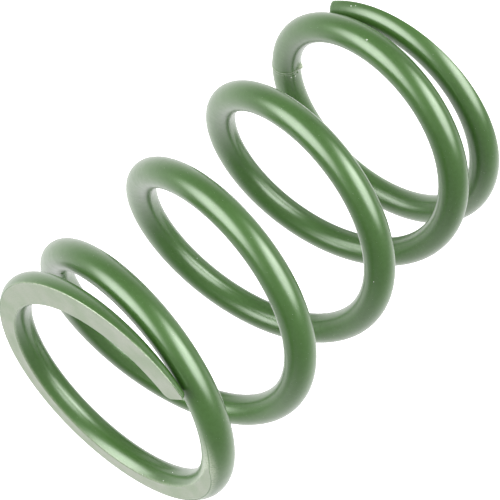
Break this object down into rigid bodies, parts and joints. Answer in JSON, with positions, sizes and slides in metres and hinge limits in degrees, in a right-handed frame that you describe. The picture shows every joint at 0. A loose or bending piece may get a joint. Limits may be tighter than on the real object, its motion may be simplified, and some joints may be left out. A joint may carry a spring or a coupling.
{
  "type": "coil spring",
  "caption": "Left-hand compression spring with closed and ground ends, wound from round wire and painted green, that shortens along its axis",
  "frame": {"origin": "centre of the lower ground face, on the spring's axis", "axes": "+Z along the spring's axis, from the lower ground face to the upper one; the lower tip of the wire is 36 degrees from +X towards -Y"},
  "size_m": [0.0814, 0.0814, 0.1318],
  "materials": {
    "paint": "satin green paint over steel, pale and matt on the ground end faces"
  },
  "bodies": {
    "lower_end_coil": {"lower_end_coil": "paint"},
    "turn_1_arc_1": {"turn_1_arc_1": "paint"},
    "turn_1_arc_2": {"turn_1_arc_2": "paint"},
    "turn_1_arc_3": {"turn_1_arc_3": "paint"},
    "turn_1_arc_4": {"turn_1_arc_4": "paint"},
    "turn_1_arc_5": {"turn_1_arc_5": "paint"},
    "turn_1_arc_6": {"turn_1_arc_6": "paint"},
    "turn_1_arc_7": {"turn_1_arc_7": "paint"},
    "turn_1_arc_8": {"turn_1_arc_8": "paint"},
    "turn_2_arc_1": {"turn_2_arc_1": "paint"},
    "turn_2_arc_2": {"turn_2_arc_2": "paint"},
    "turn_2_arc_3": {"turn_2_arc_3": "paint"},
    "turn_2_arc_4": {"turn_2_arc_4": "paint"},
    "turn_2_arc_5": {"turn_2_arc_5": "paint"},
    "turn_2_arc_6": {"turn_2_arc_6": "paint"},
    "turn_2_arc_7": {"turn_2_arc_7": "paint"},
    "turn_2_arc_8": {"turn_2_arc_8": "paint"},
    "turn_3_arc_1": {"turn_3_arc_1": "paint"},
    "turn_3_arc_2": {"turn_3_arc_2": "paint"},
    "turn_3_arc_3": {"turn_3_arc_3": "paint"},
    "turn_3_arc_4": {"turn_3_arc_4": "paint"},
    "turn_3_arc_5": {"turn_3_arc_5": "paint"},
    "turn_3_arc_6": {"turn_3_arc_6": "paint"},
    "turn_3_arc_7": {"turn_3_arc_7": "paint"},
    "turn_3_arc_8": {"turn_3_arc_8": "paint"},
    "turn_4_arc_1": {"turn_4_arc_1": "paint"},
    "upper_end_coil": {"upper_end_coil": "paint"}
  },
  "joints": [
    {"name": "compression", "type": "slide", "parent": "lower_end_coil", "child": "upper_end_coil", "axis": [0, 0, -1], "range_m": [0, 0.076], "stiffness_N_per_m": 50000},
    {"name": "turn_1_arc_1_slide", "type": "slide", "parent": "lower_end_coil", "child": "turn_1_arc_1", "axis": [0, 0, -1], "range_m": [0, 0.000092]},
    {"name": "turn_1_arc_2_slide", "type": "slide", "parent": "lower_end_coil", "child": "turn_1_arc_2", "axis": [0, 0, -1], "range_m": [0, 0.00175]},
    {"name": "turn_1_arc_3_slide", "type": "slide", "parent": "lower_end_coil", "child": "turn_1_arc_3", "axis": [0, 0, -1], "range_m": [0, 0.00496]},
    {"name": "turn_1_arc_4_slide", "type": "slide", "parent": "lower_end_coil", "child": "turn_1_arc_4", "axis": [0, 0, -1], "range_m": [0, 0.00826]},
    {"name": "turn_1_arc_5_slide", "type": "slide", "parent": "lower_end_coil", "child": "turn_1_arc_5", "axis": [0, 0, -1], "range_m": [0, 0.01157]},
    {"name": "turn_1_arc_6_slide", "type": "slide", "parent": "lower_end_coil", "child": "turn_1_arc_6", "axis": [0, 0, -1], "range_m": [0, 0.01487]},
    {"name": "turn_1_arc_7_slide", "type": "slide", "parent": "lower_end_coil", "child": "turn_1_arc_7", "axis": [0, 0, -1], "range_m": [0, 0.01818]},
    {"name": "turn_1_arc_8_slide", "type": "slide", "parent": "lower_end_coil", "child": "turn_1_arc_8", "axis": [0, 0, -1], "range_m": [0, 0.02148]},
    {"name": "turn_2_arc_1_slide", "type": "slide", "parent": "lower_end_coil", "child": "turn_2_arc_1", "axis": [0, 0, -1], "range_m": [0, 0.02479]},
    {"name": "turn_2_arc_2_slide", "type": "slide", "parent": "lower_end_coil", "child": "turn_2_arc_2", "axis": [0, 0, -1], "range_m": [0, 0.02809]},
    {"name": "turn_2_arc_3_slide", "type": "slide", "parent": "lower_end_coil", "child": "turn_2_arc_3", "axis": [0, 0, -1], "range_m": [0, 0.03139]},
    {"name": "turn_2_arc_4_slide", "type": "slide", "parent": "lower_end_coil", "child": "turn_2_arc_4", "axis": [0, 0, -1], "range_m": [0, 0.0347]},
    {"name": "turn_2_arc_5_slide", "type": "slide", "parent": "lower_end_coil", "child": "turn_2_arc_5", "axis": [0, 0, -1], "range_m": [0, 0.038]},
    {"name": "turn_2_arc_6_slide", "type": "slide", "parent": "lower_end_coil", "child": "turn_2_arc_6", "axis": [0, 0, -1], "range_m": [0, 0.04131]},
    {"name": "turn_2_arc_7_slide", "type": "slide", "parent": "lower_end_coil", "child": "turn_2_arc_7", "axis": [0, 0, -1], "range_m": [0, 0.04461]},
    {"name": "turn_2_arc_8_slide", "type": "slide", "parent": "lower_end_coil", "child": "turn_2_arc_8", "axis": [0, 0, -1], "range_m": [0, 0.04791]},
    {"name": "turn_3_arc_1_slide", "type": "slide", "parent": "lower_end_coil", "child": "turn_3_arc_1", "axis": [0, 0, -1], "range_m": [0, 0.05122]},
    {"name": "turn_3_arc_2_slide", "type": "slide", "parent": "lower_end_coil", "child": "turn_3_arc_2", "axis": [0, 0, -1], "range_m": [0, 0.05452]},
    {"name": "turn_3_arc_3_slide", "type": "slide", "parent": "lower_end_coil", "child": "turn_3_arc_3", "axis": [0, 0, -1], "range_m": [0, 0.05783]},
    {"name": "turn_3_arc_4_slide", "type": "slide", "parent": "lower_end_coil", "child": "turn_3_arc_4", "axis": [0, 0, -1], "range_m": [0, 0.06113]},
    {"name": "turn_3_arc_5_slide", "type": "slide", "parent": "lower_end_coil", "child": "turn_3_arc_5", "axis": [0, 0, -1], "range_m": [0, 0.06444]},
    {"name": "turn_3_arc_6_slide", "type": "slide", "parent": "lower_end_coil", "child": "turn_3_arc_6", "axis": [0, 0, -1], "range_m": [0, 0.06774]},
    {"name": "turn_3_arc_7_slide", "type": "slide", "parent": "lower_end_coil", "child": "turn_3_arc_7", "axis": [0, 0, -1], "range_m": [0, 0.07104]},
    {"name": "turn_3_arc_8_slide", "type": "slide", "parent": "lower_end_coil", "child": "turn_3_arc_8", "axis": [0, 0, -1], "range_m": [0, 0.07426]},
    {"name": "turn_4_arc_1_slide", "type": "slide", "parent": "lower_end_coil", "child": "turn_4_arc_1", "axis": [0, 0, -1], "range_m": [0, 0.07591]}
  ],
  "couplings": [
    {"joint": "turn_1_arc_1_slide", "follows": "compression", "ratio": 0.00119},
    {"joint": "turn_1_arc_2_slide", "follows": "compression", "ratio": 0.02293},
    {"joint": "turn_1_arc_3_slide", "follows": "compression", "ratio": 0.06522},
    {"joint": "turn_1_arc_4_slide", "follows": "compression", "ratio": 0.1087},
    {"joint": "turn_1_arc_5_slide", "follows": "compression", "ratio": 0.15217},
    {"joint": "turn_1_arc_6_slide", "follows": "compression", "ratio": 0.19565},
    {"joint": "turn_1_arc_7_slide", "follows": "compression", "ratio": 0.23913},
    {"joint": "turn_1_arc_8_slide", "follows": "compression", "ratio": 0.28261},
    {"joint": "turn_2_arc_1_slide", "follows": "compression", "ratio": 0.32609},
    {"joint": "turn_2_arc_2_slide", "follows": "compression", "ratio": 0.36957},
    {"joint": "turn_2_arc_3_slide", "follows": "compression", "ratio": 0.41304},
    {"joint": "turn_2_arc_4_slide", "follows": "compression", "ratio": 0.45652},
    {"joint": "turn_2_arc_5_slide", "follows": "compression", "ratio": 0.5},
    {"joint": "turn_2_arc_6_slide", "follows": "compression", "ratio": 0.54348},
    {"joint": "turn_2_arc_7_slide", "follows": "compression", "ratio": 0.58696},
    {"joint": "turn_2_arc_8_slide", "follows": "compression", "ratio": 0.63043},
    {"joint": "turn_3_arc_1_slide", "follows": "compression", "ratio": 0.67391},
    {"joint": "turn_3_arc_2_slide", "follows": "compression", "ratio": 0.71739},
    {"joint": "turn_3_arc_3_slide", "follows": "compression", "ratio": 0.76087},
    {"joint": "turn_3_arc_4_slide", "follows": "compression", "ratio": 0.80435},
    {"joint": "turn_3_arc_5_slide", "follows": "compression", "ratio": 0.84783},
    {"joint": "turn_3_arc_6_slide", "follows": "compression", "ratio": 0.8913},
    {"joint": "turn_3_arc_7_slide", "follows": "compression", "ratio": 0.93478},
    {"joint": "turn_3_arc_8_slide", "follows": "compression", "ratio": 0.97707},
    {"joint": "turn_4_arc_1_slide", "follows": "compression", "ratio": 0.99881}
  ]
}
